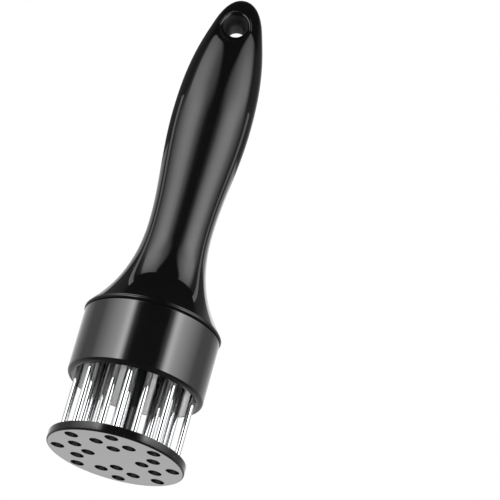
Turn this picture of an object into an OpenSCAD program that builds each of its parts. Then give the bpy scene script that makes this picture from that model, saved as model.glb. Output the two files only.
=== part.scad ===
// Blade meat tenderizer: a press handle carries a barrel and a pack of needle blades, and a
// sprung guard plate with one hole for each blade slides up to the barrel when the tool is pressed.
// Millimetres, +Z up the handle, origin at the centre of the guard plate's underside.

/* [Barrel] */
// Outside diameter of the barrel
barrel_d = 51.6; // [46:0.2:60]
// Height of the barrel from its lip to the seam under the handle
barrel_h = 25.1; // [22.1:0.2:34.1]
// Wall thickness of the barrel at its lip
barrel_wall = 2.0; // [2:0.1:2.8]
// Width of the ledge that the blade carrier rests on
ledge_w = 0.8; // [0.6:0.1:0.9]
// Height of the seam above that ledge
ledge_h = 8.1; // [7.6:0.1:10.2]
// Rounding of the lip's outer edge
lip_round = 1.7; // [0.8:0.1:1.7]
// Rounding of the lip's inner edge
lip_inner_round = 0.2; // [0.1:0.05:0.25]
// Bevel at the top of the barrel
seam_bevel = 0.15; // [0.1:0.05:0.3]
// Height of the groove over the barrel, which makes the seam line
seam_gap = 0.5; // [0.3:0.1:0.8]
// Depth of that groove from the outside of the barrel
seam_depth = 0.6; // [0.4:0.05:0.7]

/* [Guard plate] */
// Thickness of the guard plate
guard_t = 3.5; // [2.8:0.1:5]
// How far the guard plate stands out past the barrel all round
guard_overhang = 0.2; // [0:0.1:2]
// Rounding of the guard plate's lower rim
guard_round = 0.6; // [0.3:0.1:1.2]
// Rounding of the guard plate's upper rim
guard_top_round = 0.4; // [0.2:0.1:1.2]
// Open height between the guard plate and the barrel's lip at rest, which is what the plate can travel
guard_gap = 23.7; // [16:0.1:27]
// Diameter of each blade hole in the guard plate
hole_d = 5.2; // [3.8:0.1:5.6]
// Diameter of the boss that holds the guide post
boss_d = 8.8; // [8.6:0.1:10]
// Height of that boss above the plate
boss_h = 3.0; // [1.5:0.1:5]
// Floor left under the guide post's socket
socket_floor = 1.6; // [1:0.1:2.2]

/* [Blades] */
// Diameter of a needle blade
blade_d = 2.4; // [1.8:0.1:2.6]
// Height of a blade's tip above the guard plate's underside at rest
blade_setback = 1.0; // [0.8:0.1:1.6]
// Length of the ground chisel end
chisel_l = 3.2; // [2:0.1:5]
// Thickness of the chisel's edge
chisel_edge = 0.3; // [0.15:0.05:0.5]
// How far a blade's head stands out past its shank
blade_head_step = 0.5; // [0.3:0.05:0.6]
// Height of a blade's head
blade_head_h = 1.2; // [0.8:0.1:1.6]
// Gap between the outer blades and the inside of the barrel
blade_wall_gap = 0.9; // [0.5:0.05:1.2]
// Step from the outer ring of blades to the middle ring
ring_step_outer = 5.75; // [5:0.05:6]
// Step from the middle ring of blades to the inner ring
ring_step_inner = 5.8; // [5:0.05:6]
// Blades in the outer ring
outer_blades = 8; // [6:2:8]
// Blades in the middle ring
middle_blades = 8; // [8:4:8]
// Blades in the inner ring
inner_blades = 4; // [4:1:4]

/* [Blade carrier] */
// Thickness of the blade carrier
carrier_t = 5.2; // [4.6:0.1:5.6]
// Thickness of the steel backing plate behind the blade heads
backing_t = 1.4; // [1.4:0.1:1.6]
// Clearance round a part that drops into its seat
seat_clear = 0.2; // [0.1:0.05:0.3]
// Clearance round a blade in the carrier
blade_clear = 0.05; // [0.02:0.01:0.1]

/* [Screws] */
// Shank diameter of every screw
screw_d = 3.0; // [2:0.1:3]
// Head diameter of every screw
screw_head_d = 5.6; // [4.6:0.1:5.8]
// Height of a pan head
screw_head_h = 2.0; // [1.5:0.1:2.2]
// Depth of a countersunk head
countersink_h = 1.3; // [1:0.1:1.4]
// Clearance round a screw's shank
screw_clear = 0.1; // [0.05:0.05:0.2]
// Screws in each set
screw_count = 4; // [4:1:4]
// Step from the edge of the bush flange out to the carrier screws
carrier_screw_step = 3.5; // [3.3:0.1:4]
// Step from the outer ring of blades in to the backing plate screws
plate_screw_step = 4.7; // [4.3:0.1:5.1]
// How deep the screws reach into the handle above the seam
screw_reach = 7.5; // [5:0.1:8]

/* [Guide and spring] */
// Diameter of the guide post
post_d = 6.4; // [6:0.1:6.6]
// Running clearance between the post and its bush
run_clear = 0.05; // [0.02:0.01:0.1]
// Wall thickness of the guide bush
bush_wall = 1.95; // [1.5:0.05:2.1]
// Length of the bush that shows under the carrier
bush_nose = 6.0; // [2:0.1:8]
// How far the bush flange stands out past its body
bush_flange_w = 1.8; // [1.2:0.1:1.9]
// Thickness of the bush flange
bush_flange_t = 1.6; // [1:0.1:2]
// Thickness of the stop washer
washer_t = 1.2; // [0.8:0.1:2]
// Gap between the stop washer and the bush at rest
stop_gap = 0.1; // [0.05:0.05:0.3]
// Wire diameter of the return spring
spring_wire = 1.2; // [0.8:0.1:1.3]
// Mean diameter of the return spring
spring_d = 10.2; // [9.4:0.1:10.4]
// Length of the return spring at rest
spring_l = 51.0; // [46:0.5:60]
// Full turns of the return spring
spring_turns = 11; // [8:1:12]
// How far the stop washer and spring seat reach past the spring
washer_margin = 0.5; // [0.3:0.1:0.6]
// Clearance between the stop washer and the handle's bore
bore_clear = 0.4; // [0.3:0.05:0.6]
// Thickness of the spring seat at the top of the bore
seat_t = 1.4; // [1:0.1:2.5]
// Hole through the spring seat
seat_hole_d = 5.0; // [3:0.5:6]
// Depth of thread that the stop screw has in the guide post
stop_screw_l = 10.0; // [6:0.5:12]

/* [Handle] */
// How far the handle's foot stands out past the barrel
foot_overhang = 0.45; // [0.2:0.05:0.8]
// Height of the bead round the foot
bead_h = 1.2; // [0.9:0.1:2]
// Rounding of the bead
bead_round = 0.4; // [0.2:0.05:0.4]
// Depth of the crease over the bead
crease_w = 0.75; // [0.65:0.05:0.9]
// Height of the crease
crease_h = 0.4; // [0.3:0.05:0.8]
// How far in from the bead the flare starts
flare_in = 0.6; // [0.5:0.05:0.7]
// Height of the upright edge that the flare starts with
flare_edge_h = 0.2; // [0.1:0.05:0.25]
// Length of the flare's start along its slope
flare_l = 6.4; // [5:0.1:8]
// Slope of the flare's start
flare_slope = 52.3; // [46:0.1:56]
// Diameter of the neck
neck_d = 24.4; // [22:0.1:30]
// Height of the neck above the seam
neck_h = 41.8; // [38:0.2:50]
// Diameter of the grip at its widest
grip_d = 30.7; // [26:0.1:36]
// Height of the widest place above the seam
grip_h = 88.4; // [80:0.2:96]
// Diameter of the shoulder under the tip
shoulder_d = 19.4; // [17:0.1:22]
// Height of the tip above the shoulder
shoulder_h = 11.8; // [10.7:0.1:16.7]
// Slope of the handle's side at the shoulder
shoulder_slope = 74.2; // [70:0.1:78]
// Height of the tip above the seam
handle_h = 140.5; // [139:0.1:146]
// Depth of the moulding core above the spring bore
core_l = 52.0; // [20:1:54]
// Diameter of that core
core_d = 10.0; // [8:0.5:10.6]

/* [Hang hole] */
// Diameter of the hang hole at its waist
hang_d = 6.0; // [5:0.1:7]
// Length of the waist
waist_l = 4.0; // [3:0.1:6]
// How far out from the waist each mouth is measured
mouth_depth = 6.75; // [5:0.25:9]
// How much wider than the waist, in radius, a mouth is at that depth
mouth_flare = 2.8; // [1.5:0.1:3.2]
// Height of the tip above the hang hole's axis
hang_h = 14.5; // [12.7:0.1:16.7]

/* [Hidden] */
BLACK = [0.06, 0.06, 0.065];
SATIN_BLACK = [0.13, 0.13, 0.135];
STEEL = [0.78, 0.79, 0.80];
ZINC = [0.62, 0.63, 0.65];

// Radii and heights that follow from the sizes above
barrel_r = barrel_d / 2;
barrel_in_r = barrel_r - barrel_wall;
pack_seat_r = barrel_in_r + ledge_w;
pack_r = pack_seat_r - seat_clear;
guard_r = barrel_r + guard_overhang;
blade_r = blade_d / 2;
blade_head_r = blade_r + blade_head_step;
outer_ring_r = barrel_in_r - blade_wall_gap - blade_r;
middle_ring_r = outer_ring_r - ring_step_outer;
inner_ring_r = middle_ring_r - ring_step_inner;
lip_z = guard_t + guard_gap;
seam_z = lip_z + barrel_h;
carrier_z = seam_z - ledge_h;
backing_z = carrier_z + carrier_t;
flange_z = backing_z + backing_t;
screw_r = screw_d / 2;
screw_hole_r = screw_r + screw_clear;
screw_head_r = screw_head_d / 2;
head_recess_h = screw_head_h + screw_clear;
post_r = post_d / 2;
bush_in_r = post_r + run_clear;
bush_r = bush_in_r + bush_wall;
bush_flange_r = bush_r + bush_flange_w;
bush_z = carrier_z - bush_nose;
carrier_screw_r = bush_flange_r + carrier_screw_step;
plate_screw_r = outer_ring_r - plate_screw_step;
washer_r = (spring_d + spring_wire) / 2 + washer_margin;
washer_z = flange_z + bush_flange_t + stop_gap;
spring_z = washer_z + washer_t;
bore_r = washer_r + bore_clear;
seat_z = spring_z + spring_l;
step_z = seat_z + seat_t;
flange_recess_z = flange_z + bush_flange_t + seat_clear;
foot_r = barrel_r + foot_overhang;
foot_z = seam_z + seam_gap;
seam_r = barrel_r - seam_depth;
flare_r = foot_r - flare_in;
flare_z = foot_z + bead_h + crease_h;
tip_z = seam_z + handle_h;
hang_z = tip_z - hang_h;
hang_r = hang_d / 2;

// How firmly each stretch of the handle's curve keeps its direction at its ends
neck_pull_below = 23.05;
neck_pull_above = 15.7;
grip_pull_below = 17.4;
grip_pull_above = 20.1;
shoulder_pull_below = 10.8;
shoulder_pull_above = 4.3;
tip_pull = 5.95;

// Counts of straight steps in a drawn curve
curve_steps = 14;
round_steps = 5;
mouth_steps = 10;
// An outline drawn past what it cuts, so that no face is shared
over = 1;

// Rings of blades: radius, count and angle of the first one
RINGS = [
    [outer_ring_r, outer_blades, 0],
    [middle_ring_r, middle_blades, 180 / middle_blades],
    [inner_ring_r, inner_blades, 0],
];
// One place for each blade: distance from the axis and angle
SPOTS = [for (ring = RINGS) for (i = [0:ring[1] - 1]) [ring[0], ring[2] + 360 / ring[1] * i]];
function blade_name(i) = str("blade_", i < 9 ? "0" : "", i + 1);
BLADES = [for (i = [0:len(SPOTS) - 1]) blade_name(i)];
$fn = 96;
// Facets round a blade or a screw
small_fn = 32;

// Points of an arc from angle a to angle b, about a centre
function arc(centre, r, a, b, steps) =
    [for (i = [0:steps]) let (t = a + (b - a) * i / steps) centre + r * [cos(t), sin(t)]];

// Points of a cubic curve through p and s, pulled towards q and r, without its first point
function curve(p, q, r, s, steps) =
    [for (i = [1:steps]) let (t = i / steps, u = 1 - t)
        u * u * u * p + 3 * u * u * t * q + 3 * u * t * t * r + t * t * t * s];

function slope(angle) = [cos(angle), sin(angle)];

// Places at each of four screws, half way between the blades of the inner ring
module at_screws(r) {
    for (i = [0:screw_count - 1])
        rotate(45 + 360 / screw_count * i)
            translate([r, 0, 0])
                children();
}

module at_blades() {
    for (spot = SPOTS)
        rotate(spot[1])
            translate([spot[0], 0, 0])
                children();
}

// The handle's outside: a spigot that stands on the backing plate inside the barrel, the ring that
// rests on the barrel, the seam groove, then the bead, crease, flare, neck, grip, shoulder and tip
function handle_outline() =
    let (
        bead_in = foot_r - bead_round,
        bead_low = foot_z + bead_round,
        bead_high = foot_z + bead_h - bead_round,
        crease = [foot_r - crease_w, foot_z + bead_h],
        flare = [flare_r, flare_z],
        flare_foot = flare - [0, flare_edge_h],
        neck = [neck_d / 2, seam_z + neck_h],
        grip = [grip_d / 2, seam_z + grip_h],
        shoulder = [shoulder_d / 2, tip_z - shoulder_h],
        lean = slope(180 - shoulder_slope),
        tip = [0, tip_z]
    )
    concat(
        [[0, flange_z], [pack_r, flange_z], [pack_r, seam_z], [seam_r, seam_z], [seam_r, foot_z]],
        arc([bead_in, bead_low], bead_round, -90, 0, round_steps),
        arc([bead_in, bead_high], bead_round, 0, 90, round_steps),
        [crease, flare_foot, flare],
        curve(flare, flare + flare_l * slope(180 - flare_slope),
              neck - [0, neck_pull_below], neck, curve_steps),
        curve(neck, neck + [0, neck_pull_above], grip - [0, grip_pull_below], grip, curve_steps),
        curve(grip, grip + [0, grip_pull_above],
              shoulder - shoulder_pull_below * lean, shoulder, curve_steps),
        curve(shoulder, shoulder + shoulder_pull_above * lean,
              tip + [tip_pull, 0], tip, curve_steps)
    );

// The hang hole: a straight waist that opens faster and faster towards each side
module hang_hole() {
    half = waist_l / 2;
    reach = grip_d / 2 + over;
    translate([0, 0, hang_z])
        for (side = [90, -90])
            rotate([side, 0, 0])
                rotate_extrude()
                    polygon(concat(
                        [[0, 0], [hang_r, 0]],
                        [for (i = [0:mouth_steps])
                            let (out = (reach - half) * i / mouth_steps)
                            [hang_r + mouth_flare * pow(out / mouth_depth, 2), half + out]],
                        [[0, reach]]
                    ));
}

module handle() {
    screw_hole_h = seam_z - flange_z + screw_reach + 2 * over;
    color(BLACK)
        difference() {
            rotate_extrude()
                polygon(handle_outline());
            // Recess for the bush flange, bore for the spring, and the moulding core
            translate([0, 0, flange_z - over])
                cylinder(r = bush_flange_r + seat_clear, h = flange_recess_z - flange_z + over);
            translate([0, 0, flange_z - over])
                cylinder(r = bore_r, h = step_z - flange_z + over);
            translate([0, 0, step_z - over])
                cylinder(d = core_d, h = core_l + over);
            // Holes for both sets of screws
            for (r = [carrier_screw_r, plate_screw_r])
                at_screws(r)
                    translate([0, 0, flange_z - over])
                        cylinder(r = screw_hole_r, h = screw_hole_h, $fn = small_fn);
            hang_hole();
        }
}

// A tube with a rounded lip and a ledge inside, open at both ends
module barrel() {
    color(SATIN_BLACK)
        rotate_extrude()
            polygon(concat(
                arc([barrel_in_r + lip_inner_round, lip_z + lip_inner_round],
                    lip_inner_round, 180, 270, round_steps),
                arc([barrel_r - lip_round, lip_z + lip_round], lip_round, -90, 0, round_steps),
                [[barrel_r, seam_z - seam_bevel], [barrel_r - seam_bevel, seam_z]],
                [[pack_seat_r, seam_z], [pack_seat_r, carrier_z], [barrel_in_r, carrier_z]]
            ));
}

// The moulded disc that the blades stand in, with a seat for each blade head and screw head
module blade_carrier() {
    color(BLACK)
        difference() {
            translate([0, 0, carrier_z])
                cylinder(r = pack_r, h = carrier_t);
            translate([0, 0, carrier_z - over])
                cylinder(r = bush_r + blade_clear, h = carrier_t + 2 * over);
            at_blades() {
                translate([0, 0, carrier_z - over])
                    cylinder(r = blade_r + blade_clear, h = carrier_t + 2 * over, $fn = small_fn);
                translate([0, 0, backing_z - blade_head_h])
                    cylinder(r = blade_head_r + 2 * blade_clear, h = blade_head_h + over, $fn = small_fn);
            }
            at_screws(carrier_screw_r) {
                translate([0, 0, carrier_z - over])
                    cylinder(r = screw_hole_r, h = carrier_t + 2 * over, $fn = small_fn);
                translate([0, 0, carrier_z - over])
                    cylinder(r = screw_head_r + seat_clear, h = head_recess_h + over, $fn = small_fn);
            }
        }
}

// The steel disc that takes the push of the blades
module backing_plate() {
    color(STEEL)
        difference() {
            translate([0, 0, backing_z])
                cylinder(r = pack_r, h = backing_t);
            translate([0, 0, backing_z - over])
                cylinder(r = bush_r + blade_clear, h = backing_t + 2 * over);
            at_screws(carrier_screw_r)
                translate([0, 0, backing_z - over])
                    cylinder(r = screw_hole_r, h = backing_t + 2 * over, $fn = small_fn);
            at_screws(plate_screw_r) {
                translate([0, 0, backing_z - over])
                    cylinder(r = screw_hole_r, h = backing_t + 2 * over, $fn = small_fn);
                translate([0, 0, backing_z])
                    cylinder(r1 = screw_head_r + screw_clear, r2 = screw_hole_r, h = countersink_h,
                             $fn = small_fn);
            }
        }
}

// A cross slot cut down into a screw head, from its top face at height 0
module cross_slot() {
    slot_l = screw_head_r;
    slot_w = screw_r / 3;
    slot_h = screw_head_h / 2;
    for (turn = [0, 90])
        rotate(turn)
            translate([0, 0, -slot_h / 2])
                cube([slot_l, slot_w, slot_h + screw_clear], center = true);
}

// A pan head with a rounded edge over its shank; the head's seat is at height 0, pointing up
module pan_screw(shank_l) {
    edge = screw_head_h / 2;
    difference() {
        union() {
            rotate_extrude($fn = small_fn)
                polygon(concat(
                    [[0, 0], [screw_head_r, 0]],
                    arc([screw_head_r - edge, screw_head_h - edge], edge, 0, 90, round_steps),
                    [[0, screw_head_h]]
                ));
            translate([0, 0, -shank_l])
                cylinder(r = screw_r, h = shank_l, $fn = small_fn);
        }
        translate([0, 0, screw_head_h])
            cross_slot();
    }
}

// A countersunk screw that points up, with its flat head at height 0
module flat_screw(l) {
    difference() {
        union() {
            cylinder(r1 = screw_head_r, r2 = screw_r, h = countersink_h, $fn = small_fn);
            cylinder(r = screw_r, h = l, $fn = small_fn);
        }
        mirror([0, 0, 1])
            cross_slot();
    }
}

// Screws from the underside of the backing plate into the handle
module plate_screws() {
    color(ZINC)
        at_screws(plate_screw_r)
            translate([0, 0, backing_z])
                flat_screw(seam_z + screw_reach - backing_z);
}

// Screws from the underside of the carrier, through the backing plate, into the handle
module carrier_screws() {
    head_z = carrier_z + head_recess_h;
    color(ZINC)
        at_screws(carrier_screw_r)
            translate([0, 0, head_z])
                mirror([0, 0, 1])
                    pan_screw(seam_z + screw_reach - head_z);
}

// One needle blade with its tip at height 0: a chisel end whose edge runs along X, a round
// shank and a flat head
module needle(l) {
    intersection() {
        union() {
            cylinder(r = blade_r, h = l, $fn = small_fn);
            translate([0, 0, l - blade_head_h])
                cylinder(r = blade_head_r, h = blade_head_h, $fn = small_fn);
        }
        rotate([90, 0, 90])
            linear_extrude(height = 4 * blade_head_r, center = true)
                polygon([
                    [-chisel_edge / 2, 0],
                    [chisel_edge / 2, 0],
                    [blade_r, chisel_l],
                    [blade_head_r + over, chisel_l + over],
                    [blade_head_r + over, l],
                    [-blade_head_r - over, l],
                    [-blade_head_r - over, chisel_l + over],
                    [-blade_r, chisel_l],
                ]);
    }
}

module blade(i) {
    color(STEEL)
        translate(concat(SPOTS[i][0] * slope(SPOTS[i][1]), blade_setback))
            needle(backing_z - blade_setback);
}

// The flanged bush that the guide post slides in
module guide_bush() {
    color(BLACK)
        difference() {
            union() {
                translate([0, 0, bush_z])
                    cylinder(r = bush_r, h = flange_z - bush_z);
                translate([0, 0, flange_z])
                    cylinder(r = bush_flange_r, h = bush_flange_t);
            }
            translate([0, 0, bush_z - over])
                cylinder(r = bush_in_r, h = flange_z + bush_flange_t - bush_z + 2 * over);
        }
}

// The ring that the top of the return spring pushes on
module spring_seat() {
    color(ZINC)
        translate([0, 0, seat_z])
            difference() {
                cylinder(r = bore_r - seat_clear / 2, h = seat_t);
                translate([0, 0, -over])
                    cylinder(d = seat_hole_d, h = seat_t + 2 * over);
            }
}

// Middle line of the return spring: rings of the tube in each turn, and its closer end turns
spring_rings = 8;
spring_sides = 6;
spring_end_pitch = spring_wire + 0.5;
spring_mid_pitch = (spring_l - spring_wire - 2 * spring_end_pitch) / (spring_turns - 2);
function spring_rise(turn) =
    turn <= 1 ? spring_end_pitch * turn :
    turn >= spring_turns - 1 ? spring_l - spring_wire - spring_end_pitch * (spring_turns - turn) :
    spring_end_pitch + spring_mid_pitch * (turn - 1);
function spring_point(turn) =
    [spring_d / 2 * cos(360 * turn), spring_d / 2 * sin(360 * turn), spring_wire / 2 + spring_rise(turn)];
spring_coil = [for (i = [0:spring_rings * spring_turns]) spring_point(i / spring_rings)];
// Each end runs on straight for one wire diameter, flat on its seat
spring_path = concat(
    [spring_coil[0] - [0, spring_wire, 0]],
    spring_coil,
    [spring_coil[len(spring_coil) - 1] + [0, spring_wire, 0]]
);
// Least gap of the tube to itself, measured between points a turn apart
spring_gap = min([
    for (i = [0:len(spring_coil) - 1])
        for (j = [i + spring_rings - 2:1:min(i + spring_rings + 2, len(spring_coil) - 1)])
            norm(spring_coil[j] - spring_coil[i]) - spring_wire
]);
echo(least_gap_of_spring_mm = spring_gap);

// A six-sided tube round a path, as one closed skin of triangles
module wire_tube(path, r) {
    n = len(path);
    points = [
        for (i = [0:n - 1])
            let (
                ahead = path[min(i + 1, n - 1)] - path[max(i - 1, 0)],
                along = ahead / norm(ahead),
                out = cross(along, [0, 0, 1]),
                side = out / norm(out),
                up = cross(side, along)
            )
            for (k = [0:spring_sides - 1])
                let (a = 360 / spring_sides * (k + 0.5))
                path[i] + r * (cos(a) * side + sin(a) * up)
    ];
    skin = [
        for (i = [0:n - 2])
            for (k = [0:spring_sides - 1])
                let (
                    a = i * spring_sides + k,
                    b = i * spring_sides + (k + 1) % spring_sides
                )
                each [[a, a + spring_sides, b], [b, a + spring_sides, b + spring_sides]]
    ];
    first = [for (k = [1:spring_sides - 2]) [0, k, k + 1]];
    last_ring = (n - 1) * spring_sides;
    last = [for (k = [1:spring_sides - 2]) [last_ring, last_ring + k + 1, last_ring + k]];
    polyhedron(points = points, faces = concat(skin, first, last));
}

module return_spring() {
    color(STEEL)
        translate([0, 0, spring_z])
            wire_tube(spring_path, spring_wire / 2);
}

// The plate that the tool stands on, with a boss for the post and a hole for each blade
module guard_plate() {
    color(BLACK)
        difference() {
            rotate_extrude()
                polygon(concat(
                    [[0, 0]],
                    arc([guard_r - guard_round, guard_round], guard_round, -90, 0, round_steps),
                    arc([guard_r - guard_top_round, guard_t - guard_top_round],
                        guard_top_round, 0, 90, round_steps),
                    [[boss_d / 2, guard_t], [boss_d / 2, guard_t + boss_h], [0, guard_t + boss_h]]
                ));
            translate([0, 0, socket_floor])
                cylinder(r = post_r + blade_clear, h = guard_t + boss_h);
            at_blades()
                translate([0, 0, -over])
                    cylinder(d = hole_d, h = guard_t + 2 * over);
        }
}

// The rod that holds the guard plate square and carries the stop washer
module guide_post() {
    color(BLACK)
        difference() {
            translate([0, 0, socket_floor])
                cylinder(r = post_r, h = washer_z - socket_floor);
            translate([0, 0, washer_z - stop_screw_l - over])
                cylinder(r = screw_r + blade_clear, h = stop_screw_l + 2 * over, $fn = small_fn);
        }
}

module stop_washer() {
    color(ZINC)
        translate([0, 0, washer_z])
            difference() {
                cylinder(r = washer_r, h = washer_t);
                translate([0, 0, -over])
                    cylinder(r = screw_hole_r, h = washer_t + 2 * over, $fn = small_fn);
            }
}

module stop_screw() {
    color(ZINC)
        translate([0, 0, spring_z])
            pan_screw(washer_t + stop_screw_l);
}

handle();
barrel();
blade_carrier();
backing_plate();
plate_screws();
carrier_screws();
guide_bush();
spring_seat();
return_spring();
guard_plate();
guide_post();
stop_washer();
stop_screw();
for (i = [0:len(BLADES) - 1])
    blade(i);
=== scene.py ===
import math

import bpy
from mathutils import Matrix, Vector


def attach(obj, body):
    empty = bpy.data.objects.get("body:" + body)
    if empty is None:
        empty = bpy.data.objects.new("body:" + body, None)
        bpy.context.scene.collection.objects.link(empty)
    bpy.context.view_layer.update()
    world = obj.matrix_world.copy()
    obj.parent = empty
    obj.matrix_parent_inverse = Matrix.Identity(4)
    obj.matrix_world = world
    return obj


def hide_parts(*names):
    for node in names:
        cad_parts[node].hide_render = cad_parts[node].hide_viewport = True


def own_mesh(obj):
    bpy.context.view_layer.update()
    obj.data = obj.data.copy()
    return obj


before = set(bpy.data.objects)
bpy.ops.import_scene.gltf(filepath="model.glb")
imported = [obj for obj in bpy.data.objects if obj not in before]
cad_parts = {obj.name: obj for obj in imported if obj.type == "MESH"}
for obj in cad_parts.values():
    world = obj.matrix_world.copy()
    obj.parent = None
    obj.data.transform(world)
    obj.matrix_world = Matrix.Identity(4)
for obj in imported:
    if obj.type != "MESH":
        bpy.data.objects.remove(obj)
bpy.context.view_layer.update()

# Lengths are in millimetres unless a comment says metres, with the origin under the middle of the guard plate
MM = 0.001

# Sizes that the pieces share
GUARD_R = 26.0
GUARD_T = 3.5
BOSS_Z = 6.5
POST_R = 3.2
LIP_Z = 27.2
BUSH_NOSE_Z = 38.2
CARRIER_Z = 44.2
BLADE_HEAD_Z = 48.2
FLANGE_Z = 50.8
SEAM_Z = 52.3
WASHER_Z = 52.5
FOOT_Z = 52.8
FLARE_Z = 54.4
SPRING_Z = 53.7
SEAT_Z = 104.7
STEP_Z = 106.1
CORE_Z = 158.1
TIP_Z = 192.8
HANG_Z = 178.3
BARREL_R = 25.8
BARREL_IN_R = 23.8
PACK_SEAT_R = 24.6
PACK_R = 24.4
SEAM_R = 25.2
FOOT_R = 26.25
BORE_R = 6.6
BUSH_R = 5.2
BUSH_FLANGE_R = 7.0
BLADE_R = 1.2
BLADE_TIP_Z = 1.0
BLADE_HOLE_R = 2.6
SCREW_HOLE_R = 1.6

# The hang hole: its straight waist, and how much wider a mouth is at a depth out from the waist
WAIST_R = 3.0
HALF_WAIST = 2.0
MOUTH_FLARE = 2.8
MOUTH_DEPTH = 6.75
# How far out from its axis the hole's matt inside gives way to the polish
MATT_TO_POLISH = (4.4, 5.4)
MATT = 0.6

# Screw holes: distances of their two circles from the axis
SCREW_RINGS = (10.5, 17.0)

# Rings of blades: radius, how many, and the angle of the first one
BLADE_RINGS = [(21.7, 8, 0.0), (15.95, 8, 22.5), (10.15, 4, 0.0)]
BLADE_TURNS = [
    (r, math.radians(first + 360 * i / count))
    for r, count, first in BLADE_RINGS
    for i in range(count)
]
BLADE_SPOTS = [(r * math.cos(turn), r * math.sin(turn)) for r, turn in BLADE_TURNS]


# ---------------------------------------------------------------- camera

def unit(v):
    return v / v.length


CAMERA_AZIMUTH = math.radians(8.484)
CAMERA_ELEVATION = math.radians(-17.905)
CAMERA_ROLL = math.radians(15.424)
CAMERA_DISTANCE = 1083.49
FOCAL_PIXELS = 2967.15
PICTURE_PIXELS = 500
SENSOR_WIDTH = 36.0
# The point in the middle of the picture, to the right of the origin and above it as the camera sees them
AIM_RIGHT = 26.563
AIM_UP = 86.716


def make_camera():
    """The photo's camera: below the tool, looking up at it, and turned about its own axis."""
    away = Vector((
        math.sin(CAMERA_AZIMUTH) * math.cos(CAMERA_ELEVATION),
        -math.cos(CAMERA_AZIMUTH) * math.cos(CAMERA_ELEVATION),
        math.sin(CAMERA_ELEVATION),
    ))
    place = away * CAMERA_DISTANCE
    level = unit((-away).cross(Vector((0, 0, 1))))
    rise = level.cross(-away)
    ahead = unit(level * AIM_RIGHT + rise * AIM_UP - place)
    side = unit(ahead.cross(Vector((0, 0, 1))))
    up = side.cross(ahead)
    across = side * math.cos(CAMERA_ROLL) + up * math.sin(CAMERA_ROLL)
    upright = up * math.cos(CAMERA_ROLL) - side * math.sin(CAMERA_ROLL)
    data = bpy.data.cameras.new("photo_camera")
    data.sensor_width = SENSOR_WIDTH
    data.sensor_fit = "HORIZONTAL"
    data.lens = FOCAL_PIXELS * SENSOR_WIDTH / PICTURE_PIXELS
    data.clip_start = 0.05
    data.clip_end = 50.0
    camera = bpy.data.objects.new("photo_camera", data)
    bpy.context.scene.collection.objects.link(camera)
    turn_to = Matrix((across, upright, -ahead)).transposed()
    camera.matrix_world = Matrix.Translation(place * MM) @ turn_to.to_4x4()
    bpy.context.scene.camera = camera


# ---------------------------------------------------------------- node wiring

class Amount:
    """One output of a node, with the sums that a finish is written in."""

    def __init__(self, wiring, socket):
        self.wiring = wiring
        self.socket = socket

    def math(self, operation, *values):
        return self.wiring.node("ShaderNodeMath", {"operation": operation}, dict(enumerate(values)))

    def __add__(self, other):
        return self.math("ADD", self, other)

    def __radd__(self, other):
        return self.math("ADD", other, self)

    def __sub__(self, other):
        return self.math("SUBTRACT", self, other)

    def __rsub__(self, other):
        return self.math("SUBTRACT", other, self)

    def __mul__(self, other):
        return self.math("MULTIPLY", self, other)

    def __rmul__(self, other):
        return self.math("MULTIPLY", other, self)

    def __truediv__(self, other):
        return self.math("DIVIDE", self, other)

    def __abs__(self):
        return self.math("ABSOLUTE", self)

    def either(self, other):
        return self.math("MAXIMUM", self, other)

    def root(self):
        return self.math("SQRT", self)

    def angle(self, other):
        return self.math("ARCTAN2", self, other)

    def rising(self, low, high):
        """0 below low and 1 above high, with a smooth step between them."""
        return self.wiring.node(
            "ShaderNodeMapRange",
            {"interpolation_type": "SMOOTHSTEP"},
            {"Value": self, "From Min": low, "From Max": high},
        )

    def mixed(self, low, high):
        """From low at 0 to high at 1, where both are numbers or Amounts."""
        return self.wiring.node("ShaderNodeMix", {"data_type": "FLOAT"}, {0: self, 2: low, 3: high})

    def tinted(self, low, high):
        """From the colour low at 0 to the colour high at 1."""
        return self.wiring.node("ShaderNodeMix", {"data_type": "RGBA"}, {0: self, 6: low, 7: high}, 2)


class Wiring:
    """The nodes of one material or world."""

    def __init__(self, tree):
        self.tree = tree

    def node(self, kind, settings=None, values=None, output=0):
        made = self.tree.nodes.new(kind)
        for name, value in (settings or {}).items():
            if name == "stops":
                ramp = made.color_ramp
                while len(ramp.elements) < len(value):
                    ramp.elements.new(1.0)
                for stop, (place, level) in zip(ramp.elements, value):
                    stop.position = place
                    stop.color = (level, level, level, 1)
            else:
                setattr(made, name, value)
        for name, value in (values or {}).items():
            if isinstance(value, Amount):
                self.tree.links.new(value.socket, made.inputs[name])
            else:
                made.inputs[name].default_value = value
        return Amount(self, made.outputs[output])

    def place(self):
        return self.node("ShaderNodeTexCoord", output="Object")

    def parts(self, vector):
        split = self.node("ShaderNodeSeparateXYZ", None, {0: vector})
        return [Amount(self, out) for out in split.socket.node.outputs]

    def stretched(self, scale, vector=None):
        return self.node("ShaderNodeMapping", None, {"Vector": vector or self.place(), "Scale": scale})

    def noise(self, scale, detail=3.0, rough=0.5, vector=None):
        values = {"Vector": vector or self.place(), "Scale": scale, "Detail": detail, "Roughness": rough}
        return self.node("ShaderNodeTexNoise", None, values)

    def end(self, kind, shader):
        """A material's or world's output node, fed by a shader."""
        out = self.tree.nodes.new(kind)
        self.tree.links.new(shader.socket, out.inputs["Surface"])


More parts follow.
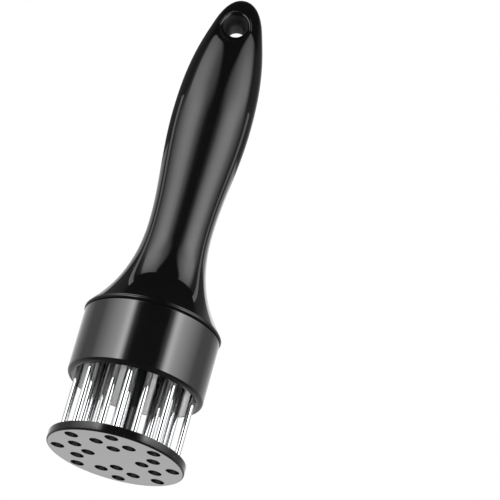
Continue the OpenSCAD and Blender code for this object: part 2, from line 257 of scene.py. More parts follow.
class Finish(Wiring):
    """A material with one Principled shader, whose plain values are set on the shader itself."""

    def __init__(self, name, **plain):
        self.material = bpy.data.materials.new(name)
        self.material.use_nodes = True
        super().__init__(self.material.node_tree)
        self.shader = self.tree.nodes["Principled BSDF"]
        for word, value in plain.items():
            self.shader.inputs[word.replace("_", " ").title().replace("Ior", "IOR")].default_value = value

    def feed(self, socket, amount):
        self.tree.links.new(amount.socket, self.shader.inputs[socket])

    def bumped(self, height, depth, strength=1.0):
        """Height from 0 to 1 stands for a depth in mm."""
        values = {"Height": height, "Distance": depth * MM, "Strength": strength}
        self.feed("Normal", self.node("ShaderNodeBump", None, values))


def dress(piece, finish):
    """The piece wears one finish and nothing else."""
    piece.data.materials.clear()
    piece.data.materials.append(finish.material)


# ---------------------------------------------------------------- finishes

def scuffs(wiring, scale):
    """Thin hairlines that run in all directions, 1 on a line."""
    bent = wiring.noise(scale * 0.35, 1.0)
    lines = wiring.noise(scale, 2.0, 0.6)
    return 1 - abs(lines + bent * 0.3 - 0.65).rising(0.0, 0.012)


def moulded_black(name, dark, pale, shine, grain):
    """Polished moulding with faint wipe marks and a little orange peel, but matt inside the hang hole."""
    finish = Finish(name, ior=1.5)
    wipes = finish.noise(55.0, 4.0, 0.55)
    specks = finish.noise(1900.0, 2.0, 0.6)
    marks = scuffs(finish, 240.0)
    finish.feed("Base Color", (wipes * 0.7 + specks * 0.3).tinted(dark, pale))
    x, _, z = finish.parts(finish.place())
    rise = z - HANG_Z * MM
    from_axis = (x * x + rise * rise).root()
    in_hole = 1 - from_axis.rising(MATT_TO_POLISH[0] * MM, MATT_TO_POLISH[1] * MM)
    polished = shine + wipes.rising(0.35, 0.75) * 0.012 + specks * 0.008 + marks * 0.02
    finish.feed("Roughness", in_hole.mixed(polished, MATT))
    finish.bumped(finish.noise(420.0, 2.0, 0.5) * 0.7 + specks * 0.3, grain)
    return finish


def lacquered_barrel():
    """Black lacquer outside and bare satin metal inside, split at the inner edge of the lip."""
    finish = Finish("barrel_lacquer", ior=1.75)
    x, y, _ = finish.parts(finish.place())
    radius = (x * x + y * y).root()
    inside = 1 - radius.rising((BARREL_IN_R + 0.02) * MM, (BARREL_IN_R + 0.12) * MM)
    wipes = finish.noise(48.0, 4.0, 0.55)
    lathe_lines = finish.noise(1.0, 3.0, 0.6, finish.stretched((40.0, 40.0, 2600.0)))
    specks = finish.noise(2200.0, 2.0, 0.6)
    black = (wipes * 0.7 + specks * 0.3).tinted((0.0008, 0.0008, 0.0009, 1), (0.0018, 0.0018, 0.0019, 1))
    grey = (lathe_lines * 0.7 + wipes * 0.3).tinted((0.23, 0.23, 0.23, 1), (0.30, 0.30, 0.298, 1))
    finish.feed("Base Color", inside.tinted(black, grey))
    outer_sheen = 0.07 + wipes.rising(0.35, 0.75) * 0.03 + specks * 0.02 + scuffs(finish, 230.0) * 0.04
    finish.feed("Roughness", inside.mixed(outer_sheen, 0.42 + lathe_lines * 0.15))
    finish.bumped(inside.mixed(specks * 0.4, lathe_lines), 0.004)
    return finish


def polished_steel():
    """Stainless wire that is drawn and then polished, so its faint lines run along the blade."""
    finish = Finish("blade_polish", metallic=1.0)
    drawn = finish.noise(1.0, 3.0, 0.6, finish.stretched((5200.0, 5200.0, 55.0)))
    clouds = finish.noise(130.0, 3.0, 0.5)
    mottle = drawn * 0.5 + clouds * 0.5
    finish.feed("Base Color", mottle.tinted((0.74, 0.75, 0.76, 1), (0.83, 0.84, 0.85, 1)))
    finish.feed("Roughness", 0.02 + drawn.rising(0.35, 0.8) * 0.02 + clouds * 0.015)
    finish.bumped(drawn, 0.0002)
    return finish


def brushed_steel(name, low, high, shine):
    """Steel sheet or wire with turned or brushed lines."""
    finish = Finish(name, metallic=1.0)
    lines = finish.noise(1.0, 3.0, 0.65, finish.stretched((70.0, 3600.0, 3600.0)))
    stains = finish.noise(160.0, 3.0, 0.5)
    finish.feed("Base Color", (lines * 0.6 + stains * 0.4).tinted(low, high))
    finish.feed("Roughness", shine + lines * 0.16 + stains * 0.06)
    finish.bumped(lines, 0.002)
    return finish


def zinc_plate():
    """Bright zinc: pale, slightly mottled and faintly blue."""
    finish = Finish("zinc_plate", metallic=1.0)
    mottle = finish.noise(900.0, 4.0, 0.6)
    haze = finish.noise(220.0, 2.0, 0.5)
    spangle = mottle * 0.6 + haze * 0.4
    finish.feed("Base Color", spangle.tinted((0.52, 0.54, 0.57, 1), (0.70, 0.72, 0.75, 1)))
    finish.feed("Roughness", 0.2 + mottle * 0.14 + haze * 0.06)
    finish.bumped(mottle, 0.002)
    return finish


# ---------------------------------------------------------------- studio

# The tent's size, and the level that its ramps are scaled to
TENT_R = 170.0
TENT_LOW = -120.0
TENT_HIGH = 450.0
TENT_LEVEL = 5.5

# Light levels round the tool, as (degrees from the camera's side, positive to its right; level)
ROUND_THE_BARREL = [
    (-180, 1.0), (-150, 1.0), (-135, 0.75), (-110, 0.4), (-88, 0.55), (-73, 1.4), (-60, 2.3),
    (-48, 3.2), (-38, 5.2), (-34, 3.1), (-30, 0.4), (-23, 0.012), (0, 0.01), (20, 0.012), (27, 0.6),
    (32, 3.3), (36, 5.2), (47, 3.2), (59, 2.3), (72, 1.4), (87, 0.55), (110, 0.4), (135, 0.75),
    (150, 1.0), (180, 1.0),
]
ROUND_THE_NECK = [
    (-180, 0.05), (-168, 0.05), (-164, 0.7), (-129, 0.65), (-125, 0.16), (-112, 0.2),
    (-102, 0.35), (-90, 1.25), (-80, 2.1), (-70, 3.1), (-55, 3.9), (-42, 3.3), (-30, 1.4), (-18, 0.2),
    (-10, 0.05), (9, 0.04), (18, 0.45), (29, 2.2), (40, 3.6), (52, 4.1), (65, 3.6), (78, 1.8), (90, 0.75),
    (100, 0.2), (122, 0.2), (125, 0.9), (140, 0.8), (146, 1.4), (163, 1.3), (168, 0.05), (180, 0.05),
]
ROUND_THE_GRIP = [
    (-180, 0.06), (-105, 0.06), (-94, 0.3), (-90, 1.9), (-78, 2.8), (-62, 3.3), (-48, 2.8), (-35, 1.6),
    (-20, 0.75), (-9, 0.2), (1, 0.04), (9, 0.35), (22, 1.1), (38, 2.4), (56, 3.4), (68, 3.2),
    (80, 2.6), (88, 1.1), (94, 0.14), (136, 0.09), (150, 0.3), (165, 0.3), (172, 0.06), (180, 0.06),
]
UNDER_THE_RIM = [(-180, 0.5), (-125, 0.5), (-85, 0.12), (0, 0.01), (85, 0.12), (125, 0.5), (180, 0.5)]
BEHIND_THE_PLATE = 2.0
LEAST_LEVEL = 0.035

# Heights over which one of these lights gives way to the next
RIM_TO_BARREL = (47, 50)
BARREL_TO_NECK = (112, 140)
NECK_TO_GRIP = (195, 240)
NECK_TO_GRIP_BEHIND = (180, 186)

# The softboxes: where they fade, where the dark gap between them widens, and where their tops are cut off
FADE = (200, 400)
FADE_BY = 0.62
FADE_BEHIND = (280, 360)
GAP_WIDENS = (220, 410)
GAP_WIDENS_BY = 34
GAP_EDGE = (5, 19)
LEFT_TOP = 415
RIGHT_TOP = 425
TOP_FALLS_FROM = 45
TOP_FALLS_BY = 1.9

# The bright patch behind the guard plate: its angle and heights
PATCH_FROM = (163, 167)
PATCH_LOW = (-82, -76)
PATCH_HIGH = (-45, -42)


def glowing(name):
    """A material that holds nothing yet, and its wiring."""
    material = bpy.data.materials.new(name)
    material.use_nodes = True
    material.node_tree.nodes.clear()
    return material, Wiring(material.node_tree)


def only_in_gloss(thing, material):
    """Seen in polished surfaces alone."""
    thing.data.materials.append(material)
    thing.visible_camera = False
    thing.visible_diffuse = False
    thing.visible_shadow = False
    thing.visible_transmission = False
    thing.visible_volume_scatter = False


def tent_light():
    """Softboxes left and right of a dark camera side, with other levels for each height."""
    material, wiring = glowing("softbox_light")
    x, y, z = wiring.parts(wiring.place())
    side = x * math.cos(CAMERA_AZIMUTH) + y * math.sin(CAMERA_AZIMUTH)
    front = x * math.sin(CAMERA_AZIMUTH) - y * math.cos(CAMERA_AZIMUTH)
    turn = side.angle(front) / (2 * math.pi) + 0.5
    degrees = abs(turn - 0.5) * 360
    back = abs(turn - 0.5).rising(104 / 360, 112 / 360)
    right = turn.rising(0.499, 0.501)

    def band(stops):
        scaled = [((angle + 180) / 360, level / TENT_LEVEL) for angle, level in stops]
        return wiring.node("ShaderNodeValToRGB", {"stops": scaled}, {0: turn}) * TENT_LEVEL

    def above(heights):
        return z.rising(heights[0] * MM, heights[1] * MM)

    outwards = (degrees - TOP_FALLS_FROM).either(0) * TOP_FALLS_BY
    top = right.mixed(LEFT_TOP - outwards, RIGHT_TOP - outwards)
    beside_gap = (degrees - above(GAP_WIDENS) * GAP_WIDENS_BY).rising(*GAP_EDGE)
    side_lit = beside_gap * (1 - (z / MM - top).rising(-5, 5)) * (1 - FADE_BY * above(FADE))
    high = band(ROUND_THE_GRIP) * back.mixed(side_lit, 1 - above(FADE_BEHIND)) + LEAST_LEVEL
    middle = back.mixed(above(NECK_TO_GRIP), above(NECK_TO_GRIP_BEHIND)).mixed(band(ROUND_THE_NECK), high)
    low = above(BARREL_TO_NECK).mixed(band(ROUND_THE_BARREL), middle)
    patch = degrees.rising(*PATCH_FROM) * (1 - above(PATCH_HIGH)) * above(PATCH_LOW)
    rim = patch.mixed(band(UNDER_THE_RIM), BEHIND_THE_PLATE)
    level = above(RIM_TO_BARREL).mixed(rim, low)
    wiring.end("ShaderNodeOutputMaterial", wiring.node("ShaderNodeEmission", None, {"Strength": level}))
    return material


def make_tent():
    """A closed tent round the tool that only reflections see."""
    middle = (TENT_HIGH + TENT_LOW) / 2 * MM
    tent = start("softbox_tent", bpy.ops.mesh.primitive_cylinder_add, vertices=128, radius=TENT_R * MM,
                 depth=(TENT_HIGH - TENT_LOW) * MM, end_fill_type="NOTHING", location=(0, 0, middle))
    settle(tent)
    bpy.ops.object.mode_set(mode="EDIT")
    for end in (1, -1):
        choose(tent, lambda v: end * (v.co.z - middle) > 0)
        bpy.ops.mesh.edge_face_add()
    bpy.ops.object.mode_set(mode="OBJECT")
    only_in_gloss(tent, tent_light())


# Narrow cards behind the neck: name, degrees from the camera's side, and mm by which the upper edge is
# wider on its outer side
SIDE_CARDS = [("side_card_left", -107.0, -3.0), ("side_card_right", 104.0, 3.0)]
CARD_DISTANCE = 75.0
CARD_WIDTH = 10.0
CARD_LOW = 100.0
CARD_HIGH = 176.0


def make_side_cards():
    """Two narrow bright cards that light the edges of the neck and grip."""
    middle = (CARD_LOW + CARD_HIGH) / 2 * MM
    away = CARD_DISTANCE * MM
    for name, degrees, more in SIDE_CARDS:
        turn = math.radians(degrees) + CAMERA_AZIMUTH
        place = (away * math.sin(turn), -away * math.cos(turn), middle)
        card = start(name, bpy.ops.mesh.primitive_plane_add, size=MM, location=place)
        card.scale = (CARD_WIDTH, CARD_HIGH - CARD_LOW, 1.0)
        card.rotation_euler = (math.pi / 2, 0, turn)
        settle(card)
        across = Vector((math.cos(turn), math.sin(turn), 0))
        bpy.ops.object.mode_set(mode="EDIT")
        choose(card, lambda v: v.co.z > middle and v.co.dot(across) * more > 0)
        bpy.ops.transform.translate(value=across * more * MM)
        bpy.ops.object.mode_set(mode="OBJECT")
        material, wiring = glowing(name)
        wiring.end("ShaderNodeOutputMaterial", wiring.node("ShaderNodeEmission", None, {"Strength": 1.0}))
        only_in_gloss(card, material)


# The floor, in metres
FLOOR_Z = -0.36
FLOOR_SIZE = 16.0


def make_floor():
    """A pale floor well below the tool, which fades to the white background far off."""
    floor = start("studio_floor", bpy.ops.mesh.primitive_plane_add, size=FLOOR_SIZE, location=(0, 0, FLOOR_Z))
    settle(floor)
    finish = Finish("floor_paint", roughness=0.85)
    x, y, _ = finish.parts(finish.place())
    mottle = finish.noise(3.0, 3.0, 0.5)
    finish.feed("Base Color", mottle.tinted((0.80, 0.80, 0.80, 1), (0.84, 0.84, 0.84, 1)))
    far = (x * x + y * y).root().rising(0.45, 1.3)
    seen = finish.node("ShaderNodeLightPath", output="Is Camera Ray")
    white = finish.node("ShaderNodeEmission", None, {"Strength": 1.0})
    plain = Amount(finish, finish.shader.outputs[0])
    both = finish.node("ShaderNodeMixShader", None, {0: far * seen, 1: plain, 2: white})
    finish.tree.links.new(both.socket, finish.tree.nodes["Material Output"].inputs["Surface"])
    dress(floor, finish)


def make_world():
    """White to the eye and in reflections, and a plain low level on everything else."""
    world = bpy.data.worlds.new("studio_world")
    bpy.context.scene.world = world
    world.use_nodes = True
    wiring = Wiring(world.node_tree)
    wiring.tree.nodes.clear()
    camera_ray = wiring.node("ShaderNodeLightPath", output="Is Camera Ray")
    rays = camera_ray.socket.node.outputs
    glossy_ray = Amount(wiring, rays["Is Glossy Ray"])
    clear_ray = Amount(wiring, rays["Is Transmission Ray"])
    white = camera_ray.either(glossy_ray).either(clear_ray)
    values = {"Color": (1, 1, 1, 1), "Strength": white.mixed(0.05, 1.0)}
    wiring.end("ShaderNodeOutputWorld", wiring.node("ShaderNodeBackground", None, values))


def make_lamp(name, place, size, power, aim=(0, 0, 0.09)):
    """A square lamp that neither the camera nor a reflection sees; its place and aim are in metres."""
    data = bpy.data.lights.new(name, "AREA")
    data.shape = "SQUARE"
    data.size = size
    data.energy = power
    lamp = bpy.data.objects.new(name, data)
    bpy.context.scene.collection.objects.link(lamp)
    lamp.location = place
    lamp.rotation_mode = "QUATERNION"
    lamp.rotation_quaternion = (Vector(aim) - Vector(place)).to_track_quat("-Z", "Y")
    lamp.visible_glossy = False
    lamp.visible_camera = False


# ---------------------------------------------------------------- modelling helpers

def start(name, add, **size):
    """A primitive, alone in the selection, that becomes a piece."""
    bpy.ops.object.select_all(action="DESELECT")
    add(**size)
    piece = bpy.context.object
    piece.name = name
    piece.data.name = name
    return piece


def choose(piece, wanted):
    """In edit mode, selects the wanted vertices alone."""
    bpy.ops.mesh.select_mode(type="VERT")
    bpy.ops.mesh.select_all(action="DESELECT")
    bpy.ops.object.mode_set(mode="OBJECT")
    for v in piece.data.vertices:
        v.select = bool(wanted(v))
    bpy.ops.object.mode_set(mode="EDIT")


def held(outline, reach=0.12):
    """Adds a point close to both ends of each long straight stretch, so that it shades flat."""
    points = [outline[0]]
    for (r0, z0), (r1, z1) in zip(outline, outline[1:]):
        length = math.hypot(r1 - r0, z1 - z0)
        if length > 6 * reach:
            t = reach / length
            for s in (t, 1 - t):
                if min(r0, r1) > 0 or 0 < r0 + (r1 - r0) * s:
                    points.append((r0 + (r1 - r0) * s, z0 + (z1 - z0) * s))
        points.append((r1, z1))
    return points


# Sides of the widest round pieces
ROUND_SIDES = 160


def turned(name, outline, sides):
    """A piece as a lathe makes it: an outline of (radius, height) that goes once round the axis."""
    piece = start(name, bpy.ops.mesh.primitive_plane_add, size=MM)
    bpy.ops.object.mode_set(mode="EDIT")
    bpy.ops.mesh.select_mode(type="VERT")
    bpy.ops.mesh.select_all(action="SELECT")
    bpy.ops.mesh.merge(type="CENTER")
    bpy.ops.transform.translate(value=(outline[0][0] * MM, 0, outline[0][1] * MM))
    for (r0, z0), (r1, z1) in zip(outline, outline[1:]):
        step = ((r1 - r0) * MM, 0, (z1 - z0) * MM)
        bpy.ops.mesh.extrude_region_move(TRANSFORM_OT_translate={"value": step})
    bpy.ops.mesh.select_all(action="SELECT")
    bpy.ops.mesh.spin(steps=sides, angle=2 * math.pi, center=(0, 0, 0), axis=(0, 0, 1))
    bpy.ops.mesh.select_all(action="SELECT")
    bpy.ops.mesh.remove_doubles(threshold=0.0005 * MM)
    bpy.ops.mesh.normals_make_consistent(inside=False)
    bpy.ops.object.mode_set(mode="OBJECT")
    return piece


def arc(centre, r, first, last, steps):
    """Points of an arc between two angles in degrees."""
    turns = [math.radians(first + (last - first) * i / steps) for i in range(steps + 1)]
    return [(centre[0] + r * math.cos(t), centre[1] + r * math.sin(t)) for t in turns]


def pulled_curve(p, q, r, s, steps):
    """Points of a cubic curve from p to s, without its first point."""
    points = []
    for i in range(1, steps + 1):
        t = i / steps
        u = 1 - t
        weights = (u ** 3, 3 * u * u * t, 3 * u * t * t, t ** 3)
        points.append(tuple(sum(w * c[k] for w, c in zip(weights, (p, q, r, s))) for k in (0, 1)))
    return points


def carve(piece, tool):
    """Cuts a tool out of a piece and throws the tool away."""
    bpy.ops.object.select_all(action="DESELECT")
    bpy.context.view_layer.objects.active = piece
    piece.select_set(True)
    cut = piece.modifiers.new("cut", "BOOLEAN")
    cut.operation = "DIFFERENCE"
    cut.solver = "EXACT"
    cut.object = tool
    bpy.ops.object.modifier_apply(modifier=cut.name)
    bpy.data.objects.remove(tool)


def joined(name, tools):
    """Several tools as one."""
    bpy.ops.object.select_all(action="DESELECT")
    for tool in tools:
        tool.select_set(True)
    bpy.context.view_layer.objects.active = tools[0]
    if len(tools) > 1:
        bpy.ops.object.join()
    tools[0].name = name
    return tools[0]


def shade(piece, angle):
    """Smooth, with edges kept where faces meet at more than an angle in degrees."""
    bpy.ops.object.select_all(action="DESELECT")
    bpy.context.view_layer.objects.active = piece
    piece.select_set(True)
    bpy.ops.object.shade_smooth_by_angle(angle=math.radians(angle))


def settle(piece):
    """The piece's place goes into its mesh."""
    bpy.ops.object.select_all(action="DESELECT")
    bpy.context.view_layer.objects.active = piece
    piece.select_set(True)
    bpy.ops.object.transform_apply(location=True, rotation=True, scale=True)


def hand_in(piece, body, slot, finish, *nodes):
    """The piece rides on its body, wears its finish and stands for its CAD nodes."""
    settle(piece)
    dress(piece, finish)
    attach(piece, body)
    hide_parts(*nodes)
    return piece


# ---------------------------------------------------------------- handle

def handle_outline():
    """From the top of the moulding core, down the bore, round the foot and up to the tip."""
    bead_r = 0.6
    edge_r = 0.55
    flare = (25.65, FLARE_Z)
    neck = (12.2, SEAM_Z + 41.8)
    grip = (15.35, SEAM_Z + 88.4)
    shoulder = (9.7, TIP_Z - 11.8)
    # How the outline leaves the flare and passes the shoulder
    out_of_flare = math.radians(180 - 52.3)
    lean = math.radians(180 - 74.2)
    lean_r, lean_z = math.cos(lean), math.sin(lean)
    edge_in = edge_r * math.tan((out_of_flare - math.pi / 2) / 2)
    flare_start = (flare[0] + edge_in * math.cos(out_of_flare), flare[1] + edge_in * math.sin(out_of_flare))
    return (
        [(0, CORE_Z), (5.0, CORE_Z), (5.0, STEP_Z), (BORE_R, STEP_Z)]
        + [(BORE_R, FLANGE_Z + 1.8), (BUSH_FLANGE_R + 0.2, FLANGE_Z + 1.8), (BUSH_FLANGE_R + 0.2, FLANGE_Z)]
        + [(PACK_R, FLANGE_Z), (PACK_R, SEAM_Z), (SEAM_R, SEAM_Z), (SEAM_R, FOOT_Z)]
        + arc((FOOT_R - bead_r, FOOT_Z + bead_r), bead_r, -90, 90, 20)
        + [(25.5, FOOT_Z + 1.2), (25.65, FOOT_Z + 1.35)]
        + arc((flare[0] - edge_r, flare[1] - edge_in), edge_r, 0, math.degrees(out_of_flare) - 90, 6)
        + pulled_curve(
            flare_start,
            (flare[0] + 6.4 * math.cos(out_of_flare), flare[1] + 6.4 * math.sin(out_of_flare)),
            (neck[0], neck[1] - 23.05),
            neck,
            60,
        )
        + pulled_curve(neck, (neck[0], neck[1] + 15.7), (grip[0], grip[1] - 17.4), grip, 40)
        + pulled_curve(
            grip,
            (grip[0], grip[1] + 20.1),
            (shoulder[0] - 10.8 * lean_r, shoulder[1] - 10.8 * lean_z),
            shoulder,
            72,
        )
        + pulled_curve(
            shoulder,
            (shoulder[0] + 4.3 * lean_r, shoulder[1] + 4.3 * lean_z),
            (5.95, TIP_Z),
            (0, TIP_Z),
            32,
        )
    )


def mouth_radius(depth):
    """The hang hole's radius at a depth out from the end of its waist."""
    return WAIST_R + MOUTH_FLARE * (depth / MOUTH_DEPTH) ** 2


def hang_hole_tool():
    """The hang hole: a straight waist that opens faster and faster towards both mouths."""
    reach = 14.4
    steps = 36
    depths = [reach * i / steps for i in range(steps + 1)]
    flare = [(mouth_radius(depth), HALF_WAIST + depth) for depth in depths]
    end = HALF_WAIST + reach
    outline = [(0, -end)] + [(r, -z) for r, z in reversed(flare)] + flare + [(0, end)]
    tool = turned("hang_hole_tool", outline, 96)
    tool.rotation_euler = (math.pi / 2, 0, 0)
    tool.location = (0, 0, HANG_Z * MM)
    settle(tool)
    return tool


def screw_hole_tools():
    """Rods for the holes of both sets of screws in the handle's foot."""
    tools = []
    for ring_r in SCREW_RINGS:
        for i in range(4):
            turn = math.radians(45 + 90 * i)
            place = (ring_r * math.cos(turn) * MM, ring_r * math.sin(turn) * MM, (FLANGE_Z + 4.5) * MM)
            tools.append(start("screw_hole_tool", bpy.ops.mesh.primitive_cylinder_add, vertices=32,
                               radius=SCREW_HOLE_R * MM, depth=11.0 * MM, location=place))
            settle(tools[-1])
    return tools


def soften_mouths(piece):
    """Rounds the edge where the hang hole's mouths meet the outside."""
    group = piece.vertex_groups.new(name="mouth")
    for v in piece.data.vertices:
        x, y, z = v.co / MM
        if z < 160 or abs(y) < 3:
            continue
        from_axis = math.hypot(x, z - HANG_Z)
        weight = 1.4 - abs(from_axis - mouth_radius(abs(y) - HALF_WAIST)) / 1.5
        if weight > 0:
            group.add([v.index], min(weight, 1.0), "REPLACE")
    smooth = piece.modifiers.new("smooth", "SMOOTH")
    smooth.factor = 0.5
    smooth.iterations = 24
    smooth.vertex_group = group.name
    bpy.context.view_layer.objects.active = piece
    bpy.ops.object.modifier_apply(modifier=smooth.name)
    piece.vertex_groups.clear()


def make_handle(finish):
    piece = turned("handle_grip", held(handle_outline()), ROUND_SIDES)
    carve(piece, joined("handle_tools", [hang_hole_tool()] + screw_hole_tools()))
    bpy.ops.object.mode_set(mode="EDIT")
    bpy.ops.mesh.select_all(action="SELECT")
    bpy.ops.mesh.remove_doubles(threshold=0.02 * MM)
    bpy.ops.object.mode_set(mode="OBJECT")
    soften_mouths(piece)
    shade(piece, 40)
    hand_in(piece, "head", "gloss_black", finish, "handle")


# ---------------------------------------------------------------- barrel and guard

def make_barrel(finish):
    outline = (
        arc((BARREL_IN_R + 0.2, LIP_Z + 0.2), 0.2, 180, 270, 6)
        + arc((BARREL_R - 1.7, LIP_Z + 1.7), 1.7, -90, 0, 20)
        + arc((BARREL_R - 0.15, SEAM_Z - 0.15), 0.15, 0, 90, 5)
        + [(PACK_SEAT_R, SEAM_Z), (PACK_SEAT_R, CARRIER_Z), (BARREL_IN_R, CARRIER_Z)]
    )
    piece = turned("barrel_tube", held(outline + outline[:1]), ROUND_SIDES)
    shade(piece, 30)
    hand_in(piece, "head", "satin_black", finish, "barrel")


def make_guard(finish):
    low_r = 0.6
    top_r = 0.4
    outline = (
        [(0, 0)]
        + arc((GUARD_R - low_r, low_r), low_r, -90, 0, 10)
        + arc((GUARD_R - top_r, GUARD_T - top_r), top_r, 0, 90, 8)
        + [(4.4, GUARD_T), (4.4, BOSS_Z - 0.3), (4.1, BOSS_Z), (POST_R + 0.05, BOSS_Z)]
        + [(POST_R + 0.05, 1.6), (0, 1.6)]
    )
    piece = turned("guard_disc", outline, ROUND_SIDES)
    bpy.ops.object.mode_set(mode="EDIT")
    bpy.ops.mesh.select_all(action="SELECT")
    bpy.ops.mesh.dissolve_limited(angle_limit=math.radians(0.05))
    bpy.ops.object.mode_set(mode="OBJECT")
    tools = []
    for x, y in BLADE_SPOTS:
        tools.append(start("blade_hole_tool", bpy.ops.mesh.primitive_cylinder_add, vertices=64,
                           radius=BLADE_HOLE_R * MM, depth=8 * MM, location=(x * MM, y * MM, 2 * MM)))
        settle(tools[-1])
    carve(piece, joined("blade_hole_tools", tools))
    shade(piece, 30)
    flat = piece.modifiers.new("flat", "WEIGHTED_NORMAL")
    flat.mode = "FACE_AREA"
    flat.keep_sharp = True
    bpy.ops.object.modifier_apply(modifier=flat.name)
    hand_in(piece, "guard", "guard_black", finish, "guard_plate")


def make_post(finish):
    top = WASHER_Z
    outline = [
        (0, 1.6), (POST_R - 0.2, 1.6), (POST_R, 1.8), (POST_R, top - 0.2), (POST_R - 0.2, top),
        (1.55, top), (1.55, top - 11.0), (0, top - 11.0),
    ]
    piece = turned("guide_rod", held(outline), 64)
    shade(piece, 30)
    hand_in(piece, "guard", "inner_black", finish, "guide_post")


def make_bush(finish):
    inner = POST_R + 0.05
    outline = [
        (inner, BUSH_NOSE_Z + 0.2), (inner + 0.2, BUSH_NOSE_Z), (BUSH_R - 0.3, BUSH_NOSE_Z),
        (BUSH_R, BUSH_NOSE_Z + 0.3), (BUSH_R, FLANGE_Z),
        (BUSH_FLANGE_R, FLANGE_Z), (BUSH_FLANGE_R, FLANGE_Z + 1.4), (BUSH_FLANGE_R - 0.2, FLANGE_Z + 1.6),
        (inner, FLANGE_Z + 1.6),
    ]
    piece = turned("guide_sleeve", held(outline + outline[:1]), 72)
    shade(piece, 30)
    hand_in(piece, "head", "inner_black", finish, "guide_bush")


# ---------------------------------------------------------------- blades and spring

def first_blade():
    """One needle blade on the axis: a round shank, two ground facets that meet in an edge, and a head."""
    low, high = BLADE_TIP_Z, BLADE_HEAD_Z
    piece = start("blade_needle", bpy.ops.mesh.primitive_cylinder_add, vertices=48, radius=BLADE_R * MM,
                  depth=(high - low) * MM, location=(0, 0, (high + low) / 2 * MM))
    settle(piece)
    bpy.ops.object.mode_set(mode="EDIT")
    choose(piece, lambda v: v.co.z > (high - 0.1) * MM)
    bpy.ops.mesh.extrude_region_move()
    bpy.ops.transform.resize(value=(1.7 / BLADE_R, 1.7 / BLADE_R, 1))
    bpy.ops.mesh.extrude_region_move(TRANSFORM_OT_translate={"value": (0, 0, 1.2 * MM)})
    half_edge = 0.15
    slope = Vector((0, 3.2, -(BLADE_R - half_edge)))
    for side in (1, -1):
        bpy.ops.mesh.select_all(action="SELECT")
        bpy.ops.mesh.bisect(
            plane_co=(0, side * half_edge * MM, low * MM),
            plane_no=(0, side * slope.y, slope.z),
            use_fill=True,
            clear_outer=True,
        )
    bpy.ops.mesh.select_all(action="SELECT")
    bpy.ops.mesh.normals_make_consistent(inside=False)
    bpy.ops.object.mode_set(mode="OBJECT")
    return piece


def make_blades(finish):
    pattern = first_blade()
    shade(pattern, 10)
    for i, (x, y) in enumerate(BLADE_SPOTS):
        piece = pattern.copy()
        piece.data = pattern.data.copy()
        piece.name = f"needle_{i + 1:02d}"
        bpy.context.scene.collection.objects.link(piece)
        piece.location = (x * MM, y * MM, 0)
        hand_in(piece, "head", "blade_steel", finish, f"blade_{i + 1:02d}")
    bpy.data.objects.remove(pattern)


SPRING_TURNS = 11
SPRING_WIRE = 1.2
SPRING_R = 5.1
SPRING_LENGTH = SEAT_Z - SPRING_Z
END_PITCH = SPRING_WIRE + 0.5
MIDDLE_PITCH = (SPRING_LENGTH - SPRING_WIRE - 2 * END_PITCH) / (SPRING_TURNS - 2)


def spring_rise(turn):
    """Height of the wire's middle above the spring's lowest turn, with closer end turns."""
    if turn <= 1:
        return END_PITCH * turn
    if turn >= SPRING_TURNS - 1:
        return SPRING_LENGTH - SPRING_WIRE - END_PITCH * (SPRING_TURNS - turn)
    return END_PITCH + MIDDLE_PITCH * (turn - 1)


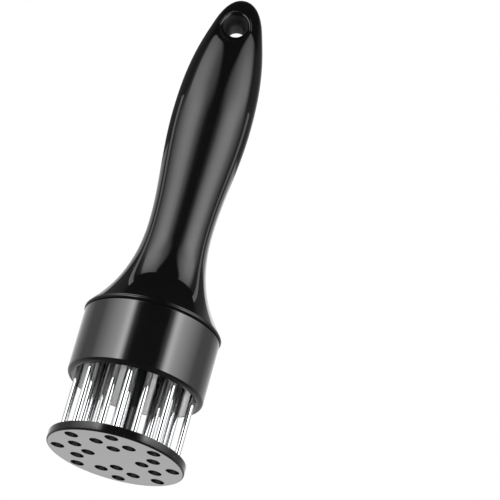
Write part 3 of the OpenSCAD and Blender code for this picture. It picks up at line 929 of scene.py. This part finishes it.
def make_spring(finish):
    """A coil with an even pitch, whose turns are then moved to their own heights."""
    pitch = 5.0
    steps = 28
    piece = start("push_spring", bpy.ops.mesh.primitive_circle_add, vertices=12,
                  radius=SPRING_WIRE / 2 * MM, location=(SPRING_R * MM, 0, 0), rotation=(math.pi / 2, 0, 0))
    settle(piece)
    coil = piece.modifiers.new("coil", "SCREW")
    coil.axis = "Z"
    coil.angle = 2 * math.pi
    coil.screw_offset = pitch * MM
    coil.iterations = SPRING_TURNS
    coil.steps = steps
    coil.render_steps = steps
    coil.use_merge_vertices = False
    bpy.ops.object.modifier_apply(modifier=coil.name)
    for v in piece.data.vertices:
        x, y, z = v.co / MM
        part = (math.atan2(y, x) / (2 * math.pi)) % 1.0
        turn = part + round(z / pitch - part)
        v.co.z = (SPRING_Z + SPRING_WIRE / 2 + spring_rise(turn) + z - pitch * turn) * MM
    bpy.ops.object.mode_set(mode="EDIT")
    bpy.ops.mesh.select_mode(type="EDGE")
    bpy.ops.mesh.select_all(action="DESELECT")
    bpy.ops.mesh.select_non_manifold()
    bpy.ops.mesh.fill_holes(sides=0)
    bpy.ops.mesh.select_all(action="SELECT")
    bpy.ops.mesh.normals_make_consistent(inside=False)
    bpy.ops.object.mode_set(mode="OBJECT")
    shade(piece, 50)
    hand_in(piece, "head", "spring_steel", finish, "return_spring")
    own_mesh(piece)


# ---------------------------------------------------------------- the whole tool

make_camera()
make_world()
make_floor()
make_tent()
make_side_cards()
make_lamp("key_lamp", (-0.9, -0.9, 1.0), 0.9, 9.0)
make_lamp("fill_lamp", (1.1, -0.5, 0.6), 0.9, 5.0)
make_lamp("under_lamp", (0.12, -0.85, -0.28), 0.12, 26.0, (0, 0, 0.03))
make_lamp("rim_lamp", (0.0, 0.85, -0.2), 0.12, 20.0, (0, 0, 0.03))
make_lamp("sky_lamp", (0.1, 0.2, 1.7), 1.6, 15.0)

# Each moulding has its darkest and palest colour, its roughness and its grain in mm
handle_black = moulded_black(
    "handle_gloss", (0.0007, 0.0007, 0.0008, 1), (0.0015, 0.0015, 0.0017, 1), 0.02, 0.0006)
guard_black = moulded_black(
    "guard_gloss", (0.0009, 0.0009, 0.0010, 1), (0.0019, 0.0019, 0.0021, 1), 0.07, 0.002)
inner_black = moulded_black(
    "inner_moulding", (0.0010, 0.0010, 0.0011, 1), (0.0020, 0.0020, 0.0022, 1), 0.09, 0.003)
blade_polish = polished_steel()
sheet_steel = brushed_steel("sheet_steel", (0.50, 0.51, 0.52, 1), (0.66, 0.67, 0.68, 1), 0.2)
spring_wire = brushed_steel("spring_wire", (0.46, 0.47, 0.49, 1), (0.64, 0.65, 0.67, 1), 0.22)
bright_zinc = zinc_plate()

make_handle(handle_black)
make_barrel(lacquered_barrel())
make_guard(guard_black)
make_post(inner_black)
make_bush(inner_black)
make_blades(blade_polish)
make_spring(spring_wire)

for node in ("plate_screws", "carrier_screws", "spring_seat", "stop_washer", "stop_screw"):
    dress(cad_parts[node], bright_zinc)
dress(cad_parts["backing_plate"], sheet_steel)
dress(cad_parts["blade_carrier"], inner_black)

bpy.context.scene.view_settings.view_transform = "Standard"
